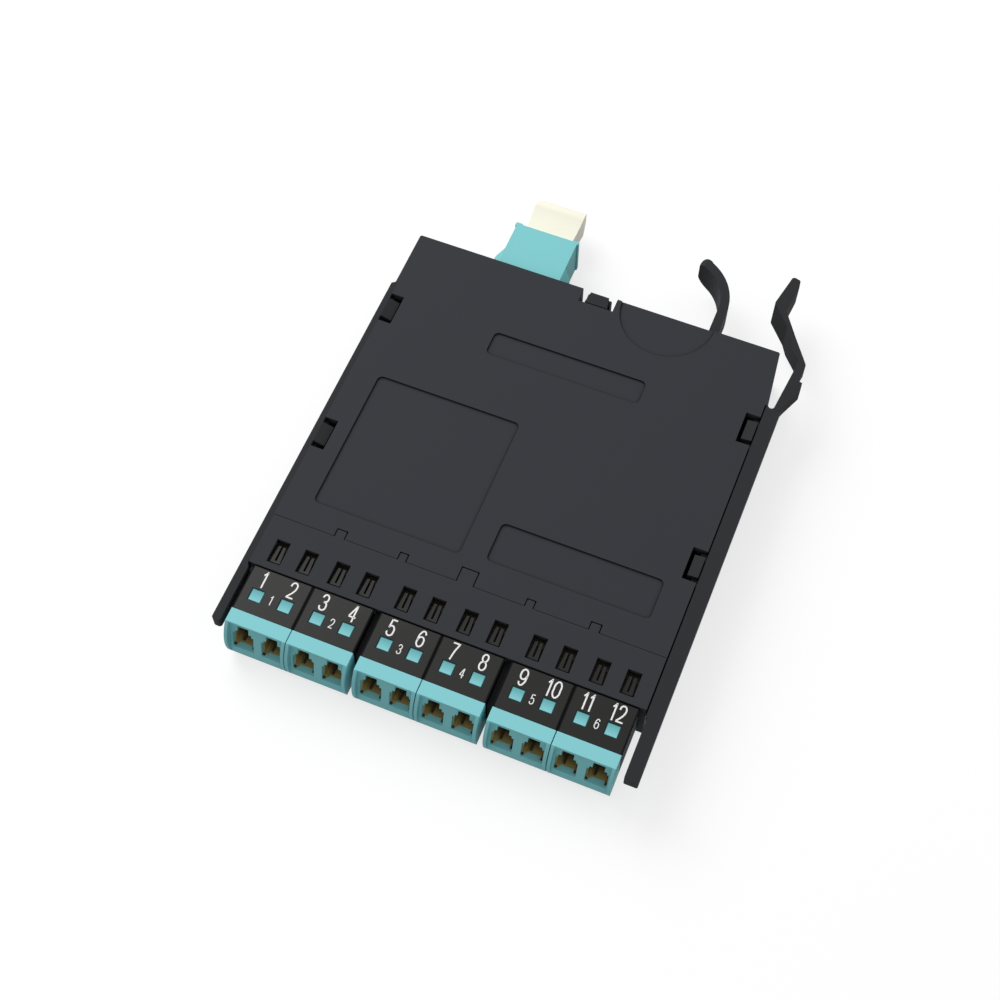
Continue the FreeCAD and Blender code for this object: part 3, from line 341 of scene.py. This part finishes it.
# The brown of the socket linings is lighter than the part's own colour, painted light in sockets that little
# light reaches, and further back it turns into painted shade
SOCKET = deepening(
    moulded("brown_socket", (0.400, 0.300, 0.105), 0.55, grain_depth=0.008),
    SOCKET_SHADE,
    (0.030, 0.020, 0.008),
)
PLATE = moulded("label_plate", (0.013, 0.013, 0.012), 0.38, grain_depth=0.008, specular=0.28)
INK = moulded("white_print", (0.93, 0.93, 0.92), 0.60, grain_depth=0.002, drift=0.04)
IVORY = moulded("ivory_cap", (0.98, 0.955, 0.80), 0.45, grain_depth=0.004, specular=0.3)
CERAMIC = moulded("white_ceramic", (0.86, 0.86, 0.83), 0.18, grain_depth=0.001)
BEIGE = moulded("beige_plug", (0.60, 0.52, 0.38), 0.45)
JACKET = moulded("aqua_jacket", (0.16, 0.52, 0.56), 0.48, grain_depth=0.004)
# Near-black brown of the boxes at the rib ends, painted shade
RIB_SHADE = moulded("rib_end_shade", (0.070, 0.055, 0.030), 0.60, grain_depth=0.004, specular=0.1)
# Black of the fan-out block and the MPO ferrule, also used for the painted shade beside the label clips
BLACK = moulded("black_moulding", (0.008, 0.008, 0.009), 0.60, specular=0.05)

FINISHES = {
    "base_tray": TRAY,
    "top_cover": HOUSING,
    "front_hood": HOUSING,
    "release_lever": LATCH,
    "lc_adapter": PORT_AQUA,
    "port_insert": SOCKET,
    "sleeve_pair": CERAMIC,
    "label_clip": PLATE,
    "inner_plug": BEIGE,
    "fibre_leg": JACKET,
    "fanout_block": BLACK,
    "trunk_tube": JACKET,
    "mpo_adapter": AQUA,
    "mpo_plug": JACKET,
    "mpo_ferrule": BLACK,
    "mpo_cap": IVORY,
}


def family(node):
    """A node's name without its number."""
    return node.rstrip("0123456789").rstrip("_")


def body_of_node(node):
    """The body that a node moves with."""
    for body, members in frame["record"]["behaviour"]["bodies"].items():
        if node in members:
            return body
    raise KeyError(node)


def link_piece(piece, body, material):
    """Puts a piece in the scene, on its body and in its finish."""
    bpy.context.scene.collection.objects.link(piece)
    piece.data.materials.clear()
    piece.data.materials.append(material)
    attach(piece, body)


def round_edges(node, size):
    """Stands in for a CAD node with the same moulding, its sharp edges rounded."""
    mesh = bpy.data.meshes.new(f"{node}_moulding")
    shape = bmesh.new()
    shape.from_mesh(frame["nodes"][node].data)
    bmesh.ops.remove_doubles(shape, verts=shape.verts, dist=WELD_DISTANCE * MM)
    bmesh.ops.dissolve_limit(shape, angle_limit=FLAT_ANGLE, verts=shape.verts, edges=shape.edges)
    shape.to_mesh(mesh)
    shape.free()
    mesh.shade_smooth()
    mesh.set_sharp_from_angle(angle=SHARP_ANGLE)
    piece = bpy.data.objects.new(f"{node}_moulding", mesh)
    link_piece(piece, body_of_node(node), FINISHES[family(node)])
    bevel = piece.modifiers.new("rounded_edges", "BEVEL")
    bevel.width = size * MM
    bevel.segments = EDGE_SEGMENTS
    bevel.limit_method = "ANGLE"
    bevel.angle_limit = SHARP_ANGLE
    bevel.use_clamp_overlap = True
    level = piece.modifiers.new("level_faces", "WEIGHTED_NORMAL")
    level.keep_sharp = True
    level.weight = 100
    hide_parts(node)


def dress_nodes():
    """Rounds the edges of what shows and gives every node its finish."""
    for node, carried in frame["nodes"].items():
        kind = family(node)
        if kind in EDGE_SIZES:
            round_edges(node, EDGE_SIZES[kind])
        carried.data.materials.clear()
        carried.data.materials.append(FINISHES[kind])


def places_of_pair(number):
    """The middle of a pair of ports and of each port in it, in millimetres along x."""
    low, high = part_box(f"label_clip_{number}")
    middle = (low.x + high.x) / 2 / MM
    return middle, [middle + side * PORT_PITCH / 2 for side in (-1, 1)]


def draw_stroke(curve, stroke, left, low, wide, high):
    """One stroke of a numeral; it closes on itself where it ends on its first point."""
    closed = stroke[0] == stroke[-1]
    points = stroke[:-1] if closed else stroke
    spline = curve.splines.new("BEZIER")
    spline.bezier_points.add(len(points) - 1)
    spline.use_cyclic_u = closed
    for knot, (across, up) in zip(spline.bezier_points, points):
        knot.handle_left_type = knot.handle_right_type = "AUTO"
        knot.co = (left + across * wide, low + up * high, 0.0)


def print_numeral(text, name, x, y, top, height):
    """A number as a thin layer of ink on a label clip, its strokes drawn as pressed-flat cords."""
    stroke = STROKE_SHARE * height
    gap = GAP_SHARE * height
    curve = bpy.data.curves.new(name, "CURVE")
    curve.dimensions = "3D"
    curve.twist_mode = "Z_UP"
    curve.resolution_u = 5
    curve.bevel_depth = stroke / 2 * MM
    curve.bevel_resolution = 1
    curve.use_fill_caps = True
    widths = [height * (NARROW_SHARE if digit == "1" else DIGIT_SHARE) for digit in text]
    left = -(sum(widths) + gap * (len(text) - 1)) / 2
    for digit, width in zip(text, widths):
        for path in STROKES[digit]:
            draw_stroke(curve, path, (left + stroke / 2) * MM, -(height - stroke) / 2 * MM,
                        (width - stroke) * MM, (height - stroke) * MM)
        left += width + gap
    drawn = bpy.data.objects.new(name, curve)
    mesh = bpy.data.meshes.new_from_object(drawn)
    bpy.data.objects.remove(drawn)
    place = Vector((x * MM, y * MM, top + INK_THICKNESS * MM / 2))
    mesh.transform(Matrix.Translation(place) @ Matrix.Diagonal((1.0, 1.0, INK_THICKNESS / stroke, 1.0)))
    link_piece(bpy.data.objects.new(name, mesh), "housing", INK)


def print_numerals():
    """A large number over each port and a small one between the two of a pair."""
    for number in PAIRS:
        middle, ports = places_of_pair(number)
        top = max(v.co.z for v in frame["nodes"][f"label_clip_{number}"].data.vertices)
        print_numeral(str(number), f"pair_numeral_{number}", middle, SMALL_Y, top, SMALL_HEIGHT)
        for port, x in zip((2 * number - 1, 2 * number), ports):
            print_numeral(str(port), f"port_numeral_{port}", x + LARGE_SHIFT, LARGE_Y, top, LARGE_HEIGHT)


def add_box(shape, corner, opposite, slope=0.0):
    """A box between opposite corners in millimetres; slope sets it back with height, along the port plate."""
    low = Vector([min(pair) for pair in zip(corner, opposite)])
    high = Vector([max(pair) for pair in zip(corner, opposite)])
    lean = Matrix.Identity(4)
    lean[1][2] = slope
    lean[1][3] = -slope * PLATE_TOP[1] * MM
    place = Matrix.Translation((high + low) / 2 * MM) @ Matrix.Diagonal((*((high - low) * MM), 1.0))
    bmesh.ops.create_cube(shape, size=1.0, matrix=lean @ place)


def finish_boxes(shape, name, material):
    """Makes a piece of the housing from boxes."""
    mesh = bpy.data.meshes.new(name)
    shape.to_mesh(mesh)
    shape.free()
    link_piece(bpy.data.objects.new(name, mesh), "housing", material)


def line_sockets(number, ports):
    """The brown walls, legs and floor that begin behind the port plate, and dark boxes of painted shade at
    the ends of their ribs.
    """
    lining = bmesh.new()
    ends = bmesh.new()
    front = PLATE_TOP[0]
    back = front + LINING_END
    floor = SOCKET_LEVELS[0]
    for x in ports:
        for side in (-1, 1):
            for half, low, high in zip(SOCKET_HALVES, SOCKET_LEVELS, SOCKET_LEVELS[1:]):
                wall = x + side * half
                add_box(lining, (wall, front + LINING_START, low),
                        (wall - side * LINING_THICKNESS, back, high), PLATE_SLOPE)
        for left, right, start in LEGS:
            add_box(lining, (x + left, front + start, floor),
                    (x + right, back, floor + LEG_HEIGHT), PLATE_SLOPE)
        add_box(lining, (x + LEGS[0][1], front + FLOOR_START, floor),
                (x + LEGS[1][0], back, floor + FLOOR_THICKNESS), PLATE_SLOPE)
        # Dark boxes at the rib ends, painted shade
        for left, right, start, end, height in RIB_ENDS:
            add_box(ends, (x + left, front + start, floor),
                    (x + right, front + end, floor + height), PLATE_SLOPE)
    finish_boxes(lining, f"socket_lining_{number}", SOCKET)
    finish_boxes(ends, f"rib_end_shades_{number}", RIB_SHADE)


def trim_clip(number, ports):
    """Painted shade at a label clip: thin black sheets down both sides, black strips along its top edges and
    a dark rim inside each of its windows.
    """
    low, high = (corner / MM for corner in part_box(f"label_clip_{number}"))
    front = low.y + GAP_SHADE_FRONT_GAP
    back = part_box("front_hood")[0].y / MM - GAP_SHADE_HOOD_GAP
    gap_shades = bmesh.new()
    for edge, side in ((low.x, -1), (high.x, 1)):
        # A thin black sheet down the side, painted shade in the gap beside the clip
        add_box(gap_shades, (edge, front, GAP_SHADE_BOTTOM),
                (edge + side * GAP_SHADE_THICKNESS, back, high.z - GAP_SHADE_DROP))
        # A black strip along the top edge, painted shade of the gap between twin clips
        add_box(gap_shades, (edge, front, high.z - STRIP_DEPTH),
                (edge - side * STRIP_WIDTH, back, high.z + STRIP_RISE))
    finish_boxes(gap_shades, f"clip_gap_shades_{number}", BLACK)
    # Dark rims inside the windows, painted shade
    shade_rims = bmesh.new()
    bottom = high.z - RIM_DROP
    top = bottom + RIM_THICKNESS
    inside = WINDOW_HALF - RIM_WIDTH
    for x in ports:
        for side in (-1, 1):
            edge = x + side * WINDOW_HALF
            add_box(shade_rims, (edge, WINDOW_Y - WINDOW_REACH, bottom),
                    (edge - side * RIM_WIDTH, WINDOW_Y + WINDOW_REACH, top))
            edge = WINDOW_Y + side * WINDOW_REACH
            add_box(shade_rims, (x - inside, edge, bottom), (x + inside, edge - side * RIM_WIDTH, top))
    finish_boxes(shade_rims, f"window_shade_rims_{number}", WINDOW_SHADE)


def dress_ports():
    """Lines the sockets and trims the label clip of every pair."""
    for number in PAIRS:
        ports = places_of_pair(number)[1]
        line_sockets(number, ports)
        trim_clip(number, ports)


def make_camera():
    """The camera of the photograph."""
    lens = bpy.data.cameras.new("camera")
    lens.lens = CAMERA_LENS
    lens.sensor_width = SENSOR_WIDTH
    lens.clip_start = 0.01
    camera = bpy.data.objects.new("camera", lens)
    camera.location = CAMERA_PLACE
    camera.rotation_mode = "QUATERNION"
    camera.rotation_quaternion = CAMERA_AHEAD.to_track_quat("-Z", "Y")
    bpy.context.scene.collection.objects.link(camera)
    bpy.context.scene.camera = camera


def make_floor():
    """A floor that looks near white and still takes the shadow."""
    shape = bmesh.new()
    bmesh.ops.create_grid(shape, x_segments=1, y_segments=1, size=FLOOR_SIZE)
    mesh = bpy.data.meshes.new("floor")
    shape.to_mesh(mesh)
    shape.free()
    floor = bpy.data.objects.new("floor", mesh)
    floor.location.z = FLOOR_Z
    bpy.context.scene.collection.objects.link(floor)
    material = bpy.data.materials.new("pale_floor")
    material.use_nodes = True
    tree = material.node_tree
    surface = tree.nodes["Principled BSDF"]
    surface.inputs["Base Color"].default_value = (FLOOR_TONE, FLOOR_TONE, FLOOR_TONE, 1.0)
    surface.inputs["Roughness"].default_value = 1.0
    surface.inputs["Specular IOR Level"].default_value = 0.0
    surface.inputs["Emission Color"].default_value = (1.0, 1.0, 1.0, 1.0)
    rays = tree.nodes.new("ShaderNodeLightPath")
    seen = add_math(tree, "ADD", rays.outputs["Is Camera Ray"], rays.outputs["Is Glossy Ray"])
    tree.links.new(add_math(tree, "MULTIPLY", seen, FLOOR_GLOW), surface.inputs["Emission Strength"])
    mesh.materials.append(material)


def make_light():
    """An even white sky and one soft lamp that looks at the cassette."""
    world = bpy.data.worlds.new("studio")
    world.use_nodes = True
    sky = world.node_tree.nodes["Background"]
    sky.inputs["Color"].default_value = (1.0, 1.0, 1.0, 1.0)
    sky.inputs["Strength"].default_value = SKY_STRENGTH
    bpy.context.scene.world = world
    lamp = bpy.data.lights.new("key_lamp", "AREA")
    lamp.size = LAMP_SIZE
    lamp.energy = LAMP_POWER
    holder = bpy.data.objects.new("key_lamp", lamp)
    holder.location = LAMP_PLACE
    holder.rotation_mode = "QUATERNION"
    holder.rotation_quaternion = (-LAMP_PLACE).to_track_quat("-Z", "Y")
    bpy.context.scene.collection.objects.link(holder)


make_camera()
dress_nodes()
print_numerals()
dress_ports()
make_floor()
make_light()
bpy.context.scene.view_settings.view_transform = "Standard"
